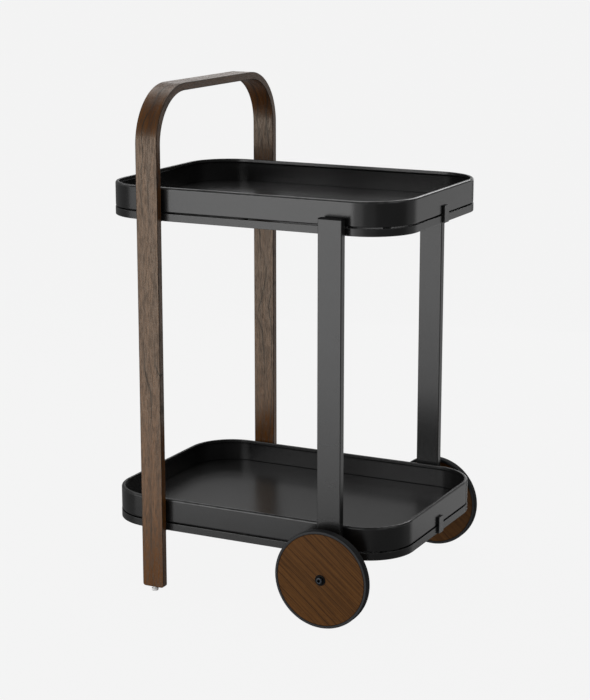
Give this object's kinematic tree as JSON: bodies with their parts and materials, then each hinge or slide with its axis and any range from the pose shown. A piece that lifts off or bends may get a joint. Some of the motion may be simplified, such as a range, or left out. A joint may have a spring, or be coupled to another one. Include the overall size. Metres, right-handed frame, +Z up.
{
  "type": "bar cart",
  "caption": "Tiered bar cart with a bentwood hoop as handle and rear legs, flat metal front legs, lift-out trays with round corners and walnut-faced wheels.",
  "frame": {"origin": "on the floor, under the middle of the trays", "axes": "+X from the hoop end to the wheel end, +Y to the left of a person who pushes at the hoop, +Z up"},
  "size_m": [0.611, 0.5544, 0.95],
  "materials": {
    "walnut": "satin lacquered walnut veneer, grain along the strip",
    "wheel_walnut": "satin lacquered walnut, straight grain across the disc",
    "black_steel": "fine satin black powder coat",
    "tray_steel": "fine satin black powder coat",
    "black_plastic": "matte moulded black",
    "pad_rubber": "matte",
    "plated_steel": "zinc plated",
    "black_bolt": "black oxide",
    "brass": "turned",
    "tyre_rubber": "smooth satin rubber",
    "pale_nylon": "pale natural nylon"
  },
  "bodies": {
    "frame": {"bentwood_hoop": "walnut", "right_glide": "pale_nylon", "left_glide": "pale_nylon", "hoop_inserts": "brass", "right_metal_leg": "black_steel", "left_metal_leg": "black_steel", "right_leg_top_cap": "black_plastic", "left_leg_top_cap": "black_plastic", "right_leg_bottom_cap": "black_plastic", "left_leg_bottom_cap": "black_plastic", "leg_nuts": "plated_steel", "right_axle_boss": "plated_steel", "left_axle_boss": "plated_steel", "upper_support_ring": "black_steel", "lower_support_ring": "black_steel", "upper_cross_rails": "black_steel", "lower_cross_rails": "black_steel", "upper_front_tab": "black_steel", "upper_rear_tab": "black_steel", "lower_front_tab": "black_steel", "lower_rear_tab": "black_steel", "upper_spacers": "black_steel", "lower_spacers": "black_steel", "upper_ring_screws": "black_bolt", "lower_ring_screws": "black_bolt", "upper_tray_pads": "pad_rubber", "lower_tray_pads": "pad_rubber", "right_wheel_spacer": "black_steel", "left_wheel_spacer": "black_steel", "right_axle_bolt": "black_bolt", "left_axle_bolt": "black_bolt"},
    "right_wheel": {"right_wheel_disc": "wheel_walnut", "right_wheel_tyre": "tyre_rubber", "right_wheel_bushes": "black_plastic"},
    "left_wheel": {"left_wheel_disc": "wheel_walnut", "left_wheel_tyre": "tyre_rubber", "left_wheel_bushes": "black_plastic"},
    "upper_tray": {"upper_tray": "tray_steel"},
    "lower_tray": {"lower_tray": "tray_steel"}
  },
  "joints": [
    {"name": "right_wheel_spin", "type": "hinge", "parent": "frame", "child": "right_wheel", "pos_m": [0.1832, -0.2632, 0.0908], "axis": [0, 1, 0], "continuous": true},
    {"name": "left_wheel_spin", "type": "hinge", "parent": "frame", "child": "left_wheel", "pos_m": [0.1832, 0.2632, 0.0908], "axis": [0, 1, 0], "continuous": true},
    {"name": "upper_tray_lift", "type": "slide", "parent": "frame", "child": "upper_tray", "axis": [0, 0, 1], "range_m": [0, 0.06]},
    {"name": "lower_tray_lift", "type": "slide", "parent": "frame", "child": "lower_tray", "axis": [0, 0, 1], "range_m": [0, 0.06]}
  ]
}
